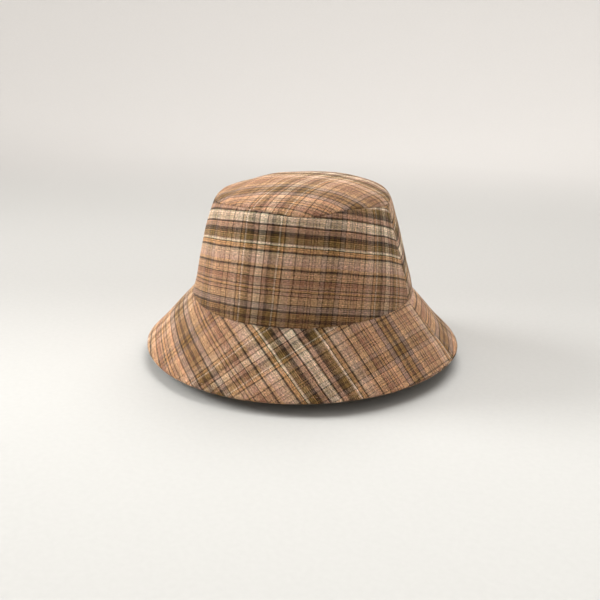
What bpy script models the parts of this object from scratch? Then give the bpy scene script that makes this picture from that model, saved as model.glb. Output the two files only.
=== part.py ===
"""Bucket hat: a domed tip, two crown panels and a sloping two-piece brim, fully lined.

Metres, +Z up. The hat stands on its brim edge at z = 0 with its front towards -Y, so the
wearer's left is +X. The origin is at the middle of the brim edge. Every cloth layer is an
open surface lofted through oval sections and given its thickness with Solidify.
"""

from collections import namedtuple
from math import cos, hypot, pi, radians, sin

import bmesh
import bpy

# Outer shape: half axes of the ovals and their heights
BRIM_HALF_WIDTH = 0.1260
BRIM_HALF_LENGTH = 0.1350
BASE_HALF_WIDTH = 0.0888
BASE_HALF_LENGTH = 0.0985
TIP_HALF_WIDTH = 0.0690
TIP_HALF_LENGTH = 0.0810
BRIM_DROP = 0.0443
CROWN_RISE = 0.0783
CROWN_BULGE = 0.0015
TIP_DOME = 0.0150
DOME_FLATNESS = 2.4
HEM_LIP = 0.0032

# Cloth thicknesses and the clearance between neighbouring layers
SHELL_CLOTH = 0.0007
INTERLINING_CLOTH = 0.0005
LINING_CLOTH = 0.0005
SWEATBAND_CLOTH = 0.0010
LABEL_CLOTH = 0.0003
GAP = 0.0003
THREAD_RADIUS = 0.00025

# Sewn-in pieces
SWEATBAND_LOW = 0.0020
SWEATBAND_HIGH = 0.0340
BRAND_LABEL_WIDTH = 0.0420
BRAND_LABEL_LOW = 0.0110
BRAND_LABEL_HIGH = 0.0270
CARE_LABEL_WIDTH = 0.0220
CARE_LABEL_LENGTH = 0.0350
SIZE_TAB_WIDTH = 0.0120
SIZE_TAB_LENGTH = 0.0160
FLAP_HINGE_RISE = 0.0350
FLAP_CLEARANCE = 0.0016
FOLD_GAP = 0.0004
EDGE_STITCH_INSET = 0.0045
BAND_STITCH_RISE = 0.0045

# Divisions
PANEL_SEGMENTS = 28
CROWN_ROWS = 5
BRIM_ROWS = 2
TIP_ROWS = 5
BAND_ROWS = 2
LABEL_SEGMENTS = 6
FOLD_STEPS = 4

# Depths of the layers under the outer surface
LINING_DEPTH = SHELL_CLOTH + GAP
BAND_DEPTH = LINING_DEPTH + LINING_CLOTH + GAP
BAND_FACE_DEPTH = BAND_DEPTH + SWEATBAND_CLOTH
INTERLINING_DEPTH = SHELL_CLOTH + GAP
UNDER_BRIM_DEPTH = INTERLINING_DEPTH + INTERLINING_CLOTH + GAP

# Angles round the hat, from the front towards the wearer's left
FRONT = 0.0
LEFT = pi / 2
BACK = pi
RIGHT = 3 * pi / 2
SEAM_HALF_ANGLE = 0.0002 / TIP_HALF_LENGTH

Section = namedtuple("Section", "half_width half_length height")


def clear_scene():
    for obj in list(bpy.data.objects):
        bpy.data.objects.remove(obj, do_unlink=True)


def make_collection(name):
    collection = bpy.data.collections.new(name)
    bpy.context.scene.collection.children.link(collection)
    return collection


def make_material(name, colour, roughness):
    material = bpy.data.materials.new(name)
    material.use_nodes = True
    shader = material.node_tree.nodes["Principled BSDF"]
    shader.inputs["Base Color"].default_value = (*colour, 1.0)
    shader.inputs["Roughness"].default_value = roughness
    shader.inputs["Metallic"].default_value = 0.0
    return material


def mix(first, last, share):
    return first + (last - first) * share


def spread(first, last, count):
    return [mix(first, last, step / count) for step in range(count + 1)]


# Profiles: oval sections listed from the top of the hat down and outwards


def crown_section(rise):
    """The crown's outer oval at this rise above the brim seam."""
    share = rise / CROWN_RISE
    bulge = CROWN_BULGE * sin(pi * share)
    return Section(
        mix(BASE_HALF_WIDTH, TIP_HALF_WIDTH, share) + bulge,
        mix(BASE_HALF_LENGTH, TIP_HALF_LENGTH, share) + bulge,
        BRIM_DROP + rise,
    )


def brim_section(share):
    """The brim's upper oval, from share 0 at the crown seam to 1 at the edge."""
    return Section(
        mix(BASE_HALF_WIDTH, BRIM_HALF_WIDTH, share),
        mix(BASE_HALF_LENGTH, BRIM_HALF_LENGTH, share),
        mix(BRIM_DROP, 0.0, share),
    )


def tip_section(share):
    """The dome's oval at this share of the tip's size."""
    return Section(
        TIP_HALF_WIDTH * share,
        TIP_HALF_LENGTH * share,
        BRIM_DROP + CROWN_RISE + TIP_DOME * (1 - share**DOME_FLATNESS),
    )


def crown_profile(low, high, rows):
    return [crown_section(rise) for rise in spread(high, low, rows)]


def brim_profile(start, end):
    return [brim_section(share) for share in spread(start, end, BRIM_ROWS)]


def tip_profile(reach):
    """Rings that crowd together towards the rim, where the dome bends most."""
    turns = spread(0.0, pi / 2, TIP_ROWS)[1:]
    return [tip_section(reach * sin(turn)) for turn in turns]


def slope_at(sections, index):
    """The unit run outwards and drop of the profile at one of its sections."""
    above = sections[max(index - 1, 0)]
    below = sections[min(index + 1, len(sections) - 1)]
    run = (below.half_width + below.half_length - above.half_width - above.half_length) / 2
    drop = above.height - below.height
    length = hypot(run, drop)
    return run / length, drop / length


def inset(sections, depth):
    """The same profile moved this far inwards, square to its own slope."""
    moved = []
    for index, section in enumerate(sections):
        run, drop = slope_at(sections, index)
        moved.append(
            Section(
                section.half_width - depth * drop,
                section.half_length - depth * drop,
                section.height - depth * run,
            )
        )
    return moved


# Builders


def oval_points(section, angles):
    return [
        (section.half_width * sin(angle), -section.half_length * cos(angle), section.height)
        for angle in angles
    ]


def panel_angles(middle):
    """Angles across a half of the hat, between the two side seams."""
    reach = pi / 2 - SEAM_HALF_ANGLE
    return spread(middle - reach, middle + reach, PANEL_SEGMENTS)


def ring_angles():
    return spread(0.0, 2 * pi, 2 * PANEL_SEGMENTS)[:-1]


def add_object(name, data, collection, material):
    obj = bpy.data.objects.new(name, data)
    obj.data.materials.append(material)
    collection.objects.link(obj)
    return obj


def add_cloth_object(name, work, thickness, collection, material):
    """The open surface as an object, with its thickness laid on its inner side."""
    mesh = bpy.data.meshes.new(name)
    work.to_mesh(mesh)
    work.free()
    mesh.shade_smooth()
    mesh.set_sharp_from_angle(angle=radians(40))
    obj = add_object(name, mesh, collection, material)
    modifier = obj.modifiers.new("thickness", "SOLIDIFY")
    modifier.thickness = thickness
    modifier.offset = -1.0
    modifier.use_even_offset = True
    return obj


def add_rows(work, sections, angles, closed):
    """Quads between the ovals, facing away from the head; returns the ovals' vertices."""
    rows = [[work.verts.new(point) for point in oval_points(section, angles)] for section in sections]
    count = len(angles)
    for upper, lower in zip(rows, rows[1:]):
        for column in range(count if closed else count - 1):
            beside = (column + 1) % count
            work.faces.new((upper[column], lower[column], lower[beside], upper[beside]))
    return rows


def cloth_panel(name, sections, angles, thickness, collection, material):
    work = bmesh.new()
    add_rows(work, sections, angles, closed=False)
    return add_cloth_object(name, work, thickness, collection, material)


def cloth_dome(name, sections, centre_height, thickness, collection, material):
    work = bmesh.new()
    rows = add_rows(work, sections, ring_angles(), closed=True)
    centre = work.verts.new((0.0, 0.0, centre_height))
    inner = rows[0]
    for column, vertex in enumerate(inner):
        work.faces.new((vertex, inner[(column + 1) % len(inner)], centre))
    return add_cloth_object(name, work, thickness, collection, material)


def thread_ring(name, section, collection, material):
    """A row of stitching, as one thin closed ring on an oval."""
    curve = bpy.data.curves.new(name, "CURVE")
    curve.dimensions = "3D"
    curve.bevel_depth = THREAD_RADIUS
    curve.bevel_resolution = 1
    points = oval_points(section, ring_angles())
    spline = curve.splines.new("POLY")
    spline.points.add(len(points) - 1)
    for slot, point in zip(spline.points, points):
        slot.co = (*point, 1.0)
    spline.use_cyclic_u = True
    return add_object(name, curve, collection, material)


def folded_flap(name, width, length, inward, location, collection, material):
    """A label folded double, hanging from its sewn top edge, which is the object's origin."""
    half_gap = (FOLD_GAP + 2 * LABEL_CLOTH) / 2
    turns = spread(0.0, pi, FOLD_STEPS)
    fold = [(half_gap * cos(turn), half_gap - length - half_gap * sin(turn)) for turn in turns]
    outline = [(half_gap, 0.0), *fold, (-half_gap, 0.0)]
    work = bmesh.new()
    rows = [
        [work.verts.new((inward * across, side * width / 2, height)) for across, height in outline]
        for side in (inward, -inward)
    ]
    for column in range(len(outline) - 1):
        corners = (rows[0][column], rows[1][column], rows[1][column + 1], rows[0][column + 1])
        work.faces.new(corners)
    flap = add_cloth_object(name, work, LABEL_CLOTH, collection, material)
    flap.location = location
    return flap


# Sub-parts


def add_crown(collection, material):
    rim_reach = 1.0
    dome_height = BRIM_DROP + CROWN_RISE + TIP_DOME
    cloth_dome("crown_tip", tip_profile(rim_reach), dome_height, SHELL_CLOTH, collection, material)
    top = CROWN_RISE - SHELL_CLOTH - GAP
    side = crown_profile(GAP, top, CROWN_ROWS)
    for name, middle in (("crown_front", FRONT), ("crown_back", BACK)):
        cloth_panel(name, side, panel_angles(middle), SHELL_CLOTH, collection, material)


def add_brim_upper(collection, material):
    """The upper brim turns under at its edge into a flat hem lip, on which the hat stands."""
    edge = brim_section(1.0)
    lip = Section(edge.half_width - HEM_LIP, edge.half_length - HEM_LIP, edge.height)
    sections = [*brim_profile(0.0, 1.0), lip]
    for name, middle in (("brim_upper_front", FRONT), ("brim_upper_back", BACK)):
        cloth_panel(name, sections, panel_angles(middle), SHELL_CLOTH, collection, material)


def add_brim_interlining(collection, material):
    sections = inset(brim_profile(0.05, 0.92), INTERLINING_DEPTH)
    for name, middle in (("brim_interlining_front", FRONT), ("brim_interlining_back", BACK)):
        cloth_panel(name, sections, panel_angles(middle), INTERLINING_CLOTH, collection, material)


def add_brim_under(collection, material):
    sections = inset(brim_profile(0.05, 0.93), UNDER_BRIM_DEPTH)
    for name, middle in (("brim_under_front", FRONT), ("brim_under_back", BACK)):
        cloth_panel(name, sections, panel_angles(middle), SHELL_CLOTH, collection, material)


def add_lining(collection, material):
    rim_reach = 1.0 - 2 * LINING_DEPTH / TIP_HALF_WIDTH
    sections = inset(tip_profile(rim_reach), LINING_DEPTH)
    dome_height = BRIM_DROP + CROWN_RISE + TIP_DOME - LINING_DEPTH
    cloth_dome("lining_tip", sections, dome_height, LINING_CLOTH, collection, material)
    top = CROWN_RISE - 2 * LINING_DEPTH - LINING_CLOTH - GAP
    side = inset(crown_profile(GAP, top, CROWN_ROWS), LINING_DEPTH)
    for name, middle in (("lining_front", FRONT), ("lining_back", BACK)):
        cloth_panel(name, side, panel_angles(middle), LINING_CLOTH, collection, material)


def add_sweatband(collection, material):
    """One strip round the head, its ends meeting at the back."""
    reach = pi - SEAM_HALF_ANGLE
    angles = spread(FRONT - reach, FRONT + reach, 2 * PANEL_SEGMENTS)
    sections = inset(crown_profile(SWEATBAND_LOW, SWEATBAND_HIGH, BAND_ROWS), BAND_DEPTH)
    cloth_panel("sweatband", sections, angles, SWEATBAND_CLOTH, collection, material)


def add_brand_label(collection, material):
    """A blank woven label over the sweatband's join."""
    sections = inset(crown_profile(BRAND_LABEL_LOW, BRAND_LABEL_HIGH, BAND_ROWS), BAND_FACE_DEPTH + GAP)
    reach = BRAND_LABEL_WIDTH / 2 / sections[0].half_width
    angles = spread(BACK - reach, BACK + reach, LABEL_SEGMENTS)
    cloth_panel("brand_label", sections, angles, LABEL_CLOTH, collection, material)


def add_flaps(collection, material):
    """The two labels that hang free from the top of the sweatband, one at each side seam."""
    band_top = inset(crown_profile(SWEATBAND_LOW, SWEATBAND_HIGH, BAND_ROWS), BAND_FACE_DEPTH)[0]
    reach = band_top.half_width - FLAP_CLEARANCE
    height = BRIM_DROP + FLAP_HINGE_RISE
    folded_flap(
        "care_label", CARE_LABEL_WIDTH, CARE_LABEL_LENGTH, 1, (reach, 0.0, height), collection, material
    )
    folded_flap(
        "size_tab", SIZE_TAB_WIDTH, SIZE_TAB_LENGTH, -1, (-reach, 0.0, height), collection, material
    )


def add_stitching(collection, material):
    lift = GAP + THREAD_RADIUS
    brim_slant = hypot(BRIM_HALF_WIDTH - BASE_HALF_WIDTH, BRIM_DROP)
    edge_share = 1.0 - EDGE_STITCH_INSET / brim_slant
    on_brim = inset([brim_section(share) for share in (0.0, edge_share, 1.0)], -lift)[1]
    thread_ring("brim_edge_stitching", on_brim, collection, material)
    band_rises = (SWEATBAND_HIGH, BAND_STITCH_RISE, SWEATBAND_LOW)
    on_band = inset([crown_section(rise) for rise in band_rises], BAND_FACE_DEPTH + lift)[1]
    thread_ring("sweatband_stitching", on_band, collection, material)


def main():
    clear_scene()
    hat = make_collection("bucket_hat")
    plaid = make_material("plaid_cloth", (0.36, 0.23, 0.15), 0.92)
    interlining = make_material("interlining_cloth", (0.72, 0.70, 0.66), 0.90)
    lining = make_material("lining_cloth", (0.10, 0.075, 0.06), 0.75)
    twill = make_material("sweatband_twill", (0.055, 0.045, 0.04), 0.85)
    woven_label = make_material("label_cloth", (0.78, 0.74, 0.66), 0.60)
    thread = make_material("sewing_thread", (0.22, 0.14, 0.09), 0.65)
    add_crown(hat, plaid)
    add_brim_upper(hat, plaid)
    add_brim_interlining(hat, interlining)
    add_brim_under(hat, plaid)
    add_lining(hat, lining)
    add_sweatband(hat, twill)
    add_brand_label(hat, woven_label)
    add_flaps(hat, woven_label)
    add_stitching(hat, thread)


main()
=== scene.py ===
"""Looks for the plaid bucket hat: every cloth layer is rebuilt as a fine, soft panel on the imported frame.

Metres, +Z up, the front of the hat towards -Y and the wearer's left at +X. Each panel is a closed
thin sheet on one of two shared surfaces, the shell (tip and crown) and the brim, and carries its own
flat-pattern coordinates in the UV map "cloth", in metres across the warp lines and across the weft
lines. The plaid and the weave are drawn from those.
"""

from collections import namedtuple
from math import cos, hypot, pi, radians, sin, sqrt

import bpy
import numpy as np
from mathutils import Matrix, Vector


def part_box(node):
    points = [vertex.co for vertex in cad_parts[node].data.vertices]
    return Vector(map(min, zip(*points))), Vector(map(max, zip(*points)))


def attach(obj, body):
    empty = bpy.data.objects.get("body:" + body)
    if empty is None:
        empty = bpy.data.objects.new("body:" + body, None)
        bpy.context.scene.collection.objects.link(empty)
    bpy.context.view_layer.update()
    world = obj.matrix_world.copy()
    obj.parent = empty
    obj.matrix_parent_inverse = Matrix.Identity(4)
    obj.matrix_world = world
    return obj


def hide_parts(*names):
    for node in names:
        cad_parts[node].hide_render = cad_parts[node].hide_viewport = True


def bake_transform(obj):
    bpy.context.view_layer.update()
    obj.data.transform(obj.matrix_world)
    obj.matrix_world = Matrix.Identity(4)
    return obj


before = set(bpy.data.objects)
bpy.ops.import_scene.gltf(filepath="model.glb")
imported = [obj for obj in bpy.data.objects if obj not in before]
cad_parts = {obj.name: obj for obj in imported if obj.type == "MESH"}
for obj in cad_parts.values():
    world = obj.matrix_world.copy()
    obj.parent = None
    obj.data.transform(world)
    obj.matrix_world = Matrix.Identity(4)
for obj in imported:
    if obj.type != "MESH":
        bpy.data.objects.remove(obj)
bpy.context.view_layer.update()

MM = 0.001

# Driving sizes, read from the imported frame
CROWN_LOW, CROWN_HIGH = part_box("crown_front")
_, TIP_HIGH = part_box("crown_tip")
BRIM_LOW, BRIM_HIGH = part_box("brim_upper_front")
_, BAND_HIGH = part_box("sweatband")
BRAND_LOW, BRAND_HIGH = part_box("brand_label")
BRIM_HALF_WIDTH = BRIM_HIGH.x
BRIM_HALF_LENGTH = -BRIM_LOW.y
BRIM_TOP = BRIM_HIGH.z
BASE_HALF_WIDTH = CROWN_HIGH.x
BASE_HALF_LENGTH = -CROWN_LOW.y
TIP_HALF_WIDTH = TIP_HIGH.x - 0.5 * MM
TIP_HALF_LENGTH = TIP_HIGH.y
HAT_TOP = TIP_HIGH.z
CORNER_HEIGHT = CROWN_HIGH.z + 1.0 * MM
CROWN_RISE = CORNER_HEIGHT - BRIM_TOP
WALL_SLANT = hypot(CROWN_RISE, (BASE_HALF_WIDTH + BASE_HALF_LENGTH - TIP_HALF_WIDTH - TIP_HALF_LENGTH) / 2)

# Dome: a shallow bowl with a softer, steeper rim
RIM_DROP = 3.0 * MM
RIM_POWER = 8
BOWL_DROP = HAT_TOP - CORNER_HEIGHT - RIM_DROP
DOME_REACH = (TIP_HALF_WIDTH + TIP_HALF_LENGTH) / 2 + 4.0 * MM
CORNER_ROUNDING = 6.5 * MM
SEAM_SWING = 2.2 * MM
SEAM_SWINGS = 5
SEAM_TURN = radians(22)

# The hat isn't quite even: the wearer's left is slimmer towards the back, the right fuller at the top
SLIM_SIDE = radians(112)
FULL_SIDE = radians(-68)
SLIM_BY = 4.2 * MM
FULL_BY = 1.6 * MM
SAG = 1.8 * MM

# Cloth thicknesses and depths of the layers
SHELL_CLOTH = 0.7 * MM
LINING_DEPTH = 1.0 * MM
LINING_CLOTH = 0.5 * MM
BAND_DEPTH = 1.8 * MM
BAND_CLOTH = 1.0 * MM
LABEL_DEPTH = 3.1 * MM
LABEL_CLOTH = 0.3 * MM
EDGE_RADIUS = 1.25 * MM
INTERLINING_DEPTH = 1.0 * MM
INTERLINING_CLOTH = 0.5 * MM

# Sweatband: how far above the brim seam it starts, and how far its free top edge can stand off. A label
# that hangs from there is given bend points this far down its length, which are not used.
BAND_START = 2.0 * MM
BAND_LOOSE = 0.5 * MM
FLAP_BEND = 5.5 * MM

# Seams: half the gap between two cloths, and how deep the cloth turns in at each kind
SEAM_GAP = 0.05 * MM
TIP_SEAM_GROOVE = 0.20 * MM
BASE_SEAM_GROOVE = 0.55 * MM
SIDE_SEAM_GROOVE = 0.30 * MM

# Brim. Its seam with the crown dips at the front and back and rises as much at the sides.
SEAM_DIP = 1.5 * MM
BRIM_RUN = (BRIM_HALF_WIDTH + BRIM_HALF_LENGTH - BASE_HALF_WIDTH - BASE_HALF_LENGTH) / 2
BRIM_SLANT = hypot(BRIM_RUN, BRIM_TOP)
EDGE_IN = EDGE_RADIUS * (1 - BRIM_TOP / BRIM_SLANT)
EDGE_UP = EDGE_RADIUS * (1 + BRIM_RUN / BRIM_SLANT)
EDGE_ARC = pi * EDGE_RADIUS
BRIM_TUCK = 0.8 * MM
SIDE_LIFT = 3.0 * MM
EDGE_CLEARANCE = 0.4 * MM

# Stitches, and where their rows run: in from the brim's edge, and up from the brim seam on the band
STITCH = 2.5 * MM
STITCH_GAP = 0.6 * MM
THREAD_RADIUS = 0.20 * MM
EDGE_STITCH_ROW = BRIM_SLANT + EDGE_RADIUS - 4.5 * MM
BAND_STITCH_RISE = 4.5 * MM

# Angles round the hat, from the front towards the wearer's left
FRONT = 0.0
BACK = pi
SIDE_REACH = pi / 2
SEAM_GAP_ANGLE = 0.08 * MM / TIP_HALF_LENGTH

# Grid steps
STEP = 1.5 * MM
FINE_STEP = 0.25 * MM
FINE_ZONE = 3.0 * MM

# Camera, at the photo's viewing angle, its lens in millimetres on a sensor 36 mm wide, and how far the
# floor lies below the brim
CAMERA_AZIMUTH = radians(22.05)
CAMERA_ELEVATION = radians(17.6)
CAMERA_ROLL = radians(1.6)
CAMERA_DISTANCE = 0.7076
CAMERA_AIM_SIDE = -4.0 * MM
CAMERA_AIM_HEIGHT = 34.0 * MM
CAMERA_LENS = 51.564
STAND_OFF = 7.5 * MM

Cut = namedtuple("Cut", "warp_direction weft_direction warp_centre weft_centre")

# How each panel was laid on the plaid: directions of the two sets of lines in degrees from the panel's
# own level line, and the place of the cream line's centre across each set
CROWN_FRONT_CUT = Cut(89.8, 1.0, 0.5 * MM, 76.1 * MM)
CROWN_BACK_CUT = Cut(90.6, -1.2, 19.0 * MM, 62.0 * MM)
TIP_CUT = Cut(85.0, 5.0, -8.8 * MM, 22.4 * MM)
BRIM_FRONT_CUT = Cut(49.5, -42.5, 14.8 * MM, 60.2 * MM)
BRIM_BACK_CUT = Cut(47.0, -44.0, 31.0 * MM, 34.0 * MM)
UNDER_FRONT_CUT = Cut(46.0, -45.0, 5.0 * MM, 40.0 * MM)
UNDER_BACK_CUT = Cut(44.0, -46.0, 26.0 * MM, 12.0 * MM)
STRAIGHT_CUT = Cut(90.0, 0.0, 0.0, 0.0)

# The threads: how far apart they lie, and how far they wander
WARP_PITCH = 0.53 * MM
WEFT_PITCH = 0.70 * MM
THREAD_DRIFT = 0.9 * MM

# Display colour of each dye, and how much darker every other thread of it is
DYES = {
    "cream": (233, 210, 180, 0.06),
    "dark": (50, 39, 34, 0.00),
    "mauve": (174, 136, 112, 0.15),
    "dark_olive": (68, 51, 27, 0.30),
    "olive": (148, 116, 66, 0.60),
    "pale": (176, 147, 118, 0.00),
    "white": (232, 213, 183, 0.00),
    "orange": (186, 140, 94, 0.10),
    "beige": (205, 173, 145, 0.10),
    "sand": (197, 161, 139, 0.14),
    "peach": (197, 153, 115, 0.15),
    "mauve_brown": (164, 117, 92, 0.30),
    "tan": (176, 134, 104, 0.10),
    "grey_mauve": (152, 125, 109, 0.25),
    "ochre": (165, 123, 74, 0.50),
    "umber": (78, 55, 36, 0.20),
}

# The plaid: threads of each dye in half a repeat, from the middle of the cream line outwards. The other
# half is its mirror image.
HALF_REPEAT = 100
HALF_SETT = (
    ("cream", 5),
    ("dark", 2),
    ("mauve", 5),
    ("dark", 2),
    ("dark_olive", 3),
    ("olive", 6),
    ("pale", 1),
    ("white", 2),
    ("dark", 1),
    ("orange", 4),
    ("dark", 2),
    ("beige", 6),
    ("sand", 6),
    ("peach", 3),
    ("dark", 2),
    ("peach", 8),
    ("dark", 1),
    ("mauve_brown", 5),
    ("tan", 3),
    ("dark", 1),
    ("mauve", 1),
    ("orange", 2),
    ("dark", 1),
    ("tan", 3),
    ("dark", 1),
    ("peach", 8),
    ("dark", 1),
    ("grey_mauve", 6),
    ("dark", 2),
    ("ochre", 5),
    ("umber", 2),
)


# Small mathematics


def mix(first, last, share):
    return first + (last - first) * share


def ease(value):
    """A smooth step from 0 to 1."""
    held = np.clip(value, 0.0, 1.0)
    return held * held * (3 - 2 * held)


def unit(vectors):
    return vectors / np.linalg.norm(vectors, axis=-1, keepdims=True)


def fade(distance, width):
    """1 at a seam, dying away over about this width."""
    return np.exp(-distance / width)


def ridge(distance, width):
    """1 along a line, falling away to both sides of it."""
    return np.exp(-((distance / width) ** 2))


def stack(x, y, z):
    return np.stack(np.broadcast_arrays(x, y, z), axis=-1).astype(float)


def waves(seed, points, wavelength):
    """A smooth field over the points, mostly between -1 and 1, the same on every run."""
    random = np.random.default_rng(seed)
    count = 9
    field = np.zeros(points.shape[:-1])
    for direction in unit(random.normal(size=(count, 3))):
        length = wavelength * random.uniform(0.75, 1.4)
        field += np.sin(2 * pi * (points @ direction) / length + random.uniform(0, 2 * pi))
    return field / sqrt(count)


def graded(length, step=STEP, fine=FINE_STEP):
    """Shares from 0 to 1 along this length, crowded together near both ends."""
    places = [0.0]
    while places[-1] < length / 2:
        places.append(places[-1] + mix(fine, step, min(places[-1] / FINE_ZONE, 1.0)))
    near = np.array(places) * (length / 2 / places[-1])
    return np.concatenate([near, length - near[-2::-1]]) / length


# The two surfaces that every layer follows


def radial(angle):
    return stack(np.sin(angle), -np.cos(angle), 0.0)


def lobe(angle, middle):
    """1 in this direction, falling smoothly to 0 a quarter turn away."""
    return np.clip(np.cos(angle - middle), 0, 1) ** 2


def growth(angle, share):
    """How far the crown's side stands out from a plain cone, from its base to its top."""
    swell = 1.2 * MM * np.sin(pi * share)
    fuller = FULL_BY * lobe(angle, FULL_SIDE) * ease(share / 0.5)
    slimmer = SLIM_BY * lobe(angle, SLIM_SIDE) ** 2 * mix(0.5, 1.0, ease(share / 0.35))
    return swell + fuller - slimmer


def dome_point(angle, share):
    """A point on the dome, from share 0 at its middle to 1 at its rim."""
    height = CORNER_HEIGHT + BOWL_DROP * (1 - share**2) + RIM_DROP * (1 - share**RIM_POWER)
    height = height - SAG * lobe(angle, FULL_SIDE) * ease((share - 0.55) / 0.25) * ease((1 - share) / 0.15)
    grow = growth(angle, 1.0) * share**2
    return stack(
        (TIP_HALF_WIDTH * share + grow) * np.sin(angle),
        -(TIP_HALF_LENGTH * share + grow) * np.cos(angle),
        height,
    )


def wall_point(angle, share):
    """A point on the crown's side, from share 0 at the brim seam to 1 at the dome's rim."""
    dip = SEAM_DIP * np.cos(2 * angle) * (1 - share)
    grow = growth(angle, share)
    return stack(
        (mix(BASE_HALF_WIDTH, TIP_HALF_WIDTH, share) + grow) * np.sin(angle),
        -(mix(BASE_HALF_LENGTH, TIP_HALF_LENGTH, share) + grow) * np.cos(angle),
        mix(BRIM_TOP, CORNER_HEIGHT, share) - dip,
    )


def wall_share(along):
    return 1 - (along - DOME_REACH) / WALL_SLANT


def tip_seam(angle):
    """Where the tip is sewn on: it wanders up and down the rounded corner."""
    return DOME_REACH + SEAM_SWING * np.cos(SEAM_SWINGS * (angle - SEAM_TURN))


def plain_shell(angle, along):
    """The shell without creases, by angle and distance from the middle of the tip down its side."""
    angle, along = np.broadcast_arrays(angle, along)
    on_dome = dome_point(angle, np.minimum(along, DOME_REACH) / DOME_REACH)
    on_wall = wall_point(angle, wall_share(np.maximum(along, DOME_REACH)))
    point = np.where((along < DOME_REACH)[..., None], on_dome, on_wall)
    turn = np.clip((along - DOME_REACH) / (2 * CORNER_ROUNDING) + 0.5, 0, 1)[..., None]
    before = dome_point(angle, 1 - CORNER_ROUNDING / DOME_REACH)
    after = wall_point(angle, wall_share(DOME_REACH + CORNER_ROUNDING))
    corner = dome_point(angle, 1.0)
    rounded = (1 - turn) ** 2 * before + 2 * turn * (1 - turn) * corner + turn**2 * after
    near = (np.abs(along - DOME_REACH) < CORNER_ROUNDING)[..., None]
    return np.where(near, rounded, point)


def shell(angle, along):
    """The shell's outer surface, with the soft unevenness of sewn cloth."""
    angle, along = np.broadcast_arrays(angle, along)
    point = plain_shell(angle, along)
    sideways = ease((along - DOME_REACH) / (2 * CORNER_ROUNDING) + 0.5)[..., None]
    outward = unit(mix(stack(0.0, 0.0, 1.0) + 0 * point, radial(angle), sideways))
    base = DOME_REACH + WALL_SLANT
    held = 1 - ridge(base - along, 9 * MM)
    soft = 0.75 * MM * waves(11, point, 95 * MM) * held
    crumple = 0.22 * MM * waves(12, point, 26 * MM) * held
    from_seam = np.minimum(np.abs(along - tip_seam(angle)), np.abs(base - along))
    pucker = 0.16 * MM * waves(13, point, 9 * MM) * ridge(from_seam, 5 * MM)
    return point + outward * (soft + crumple + pucker)[..., None]


def brim_lift(angle):
    """How far the brim's edge stands off the table: it rests at the front and back."""
    return SIDE_LIFT * np.sin(angle) ** 2


def brim_top(angle, along):
    """The brim's upper face, by angle and distance from the crown seam out towards the edge."""
    angle, along = np.broadcast_arrays(angle, along)
    share = along / BRIM_SLANT
    dip = SEAM_DIP * np.cos(2 * angle) * (1 - share)
    edge_height = EDGE_UP + EDGE_CLEARANCE + brim_lift(angle)
    grow = growth(angle, 0.0) * (1 - share)
    point = stack(
        (mix(BASE_HALF_WIDTH, BRIM_HALF_WIDTH - EDGE_IN, share) + grow) * np.sin(angle),
        -(mix(BASE_HALF_LENGTH, BRIM_HALF_LENGTH - EDGE_IN, share) + grow) * np.cos(angle),
        mix(BRIM_TOP, edge_height, share) - dip,
    )
    free = ease(share / 0.8)
    soft = 0.9 * MM * waves(21, point, 110 * MM) * free * (1 - 0.6 * ease((share - 0.6) / 0.4))
    crumple = 0.18 * MM * waves(22, point, 24 * MM) * free
    pucker = 0.14 * MM * waves(23, point, 9 * MM) * ridge(along, 6 * MM)
    outward = unit(radial(angle) * BRIM_TOP + stack(0.0, 0.0, BRIM_RUN) + 0 * point)
    return point + outward * (soft + crumple + pucker)[..., None]


def facing(surface, angle, along):
    """Points of a surface with their outward normals and downhill directions."""
    nudge = 0.1 * MM
    turn = nudge / BASE_HALF_WIDTH
    downhill = surface(angle, along + nudge) - surface(angle, along - nudge)
    onwards = surface(angle + turn, along) - surface(angle - turn, along)
    return surface(angle, along), unit(np.cross(downhill, onwards)), unit(downhill)


def round_brim(angle, along, depth):
    """The whole brim in one sweep: out over its upper face, round its edge and back underneath.

    depth is measured inwards from the outside of the sewn brim, all the way round.
    """
    angle, along = np.broadcast_arrays(angle, along)
    past_edge = along - BRIM_SLANT
    returning = past_edge - EDGE_ARC
    base = np.where(returning > 0, BRIM_SLANT - returning, np.minimum(along, BRIM_SLANT))
    turn = np.clip(past_edge / EDGE_RADIUS, 0, pi)[..., None]
    point, normal, downhill = facing(brim_top, angle, base)
    outward = normal * np.cos(turn) + downhill * np.sin(turn)
    depth = np.broadcast_to(depth, angle.shape)[..., None]
    return point - normal * EDGE_RADIUS + outward * (EDGE_RADIUS - depth)


# Flat patterns


def ring(half_width, half_length, height, angles):
    return stack(half_width * np.sin(angles), -half_length * np.cos(angles), height)


def third_corner(near, far, from_near, from_far, side):
    """The corner of a triangle that stands on near-far, at these distances from its two ends."""
    base = far - near
    length = hypot(*base)
    ahead = (from_near**2 - from_far**2 + length**2) / (2 * length)
    aside = sqrt(max(from_near**2 - ahead**2, 0.0))
    along = base / length
    return near + along * ahead + np.array((-along[1], along[0])) * aside * side


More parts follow.
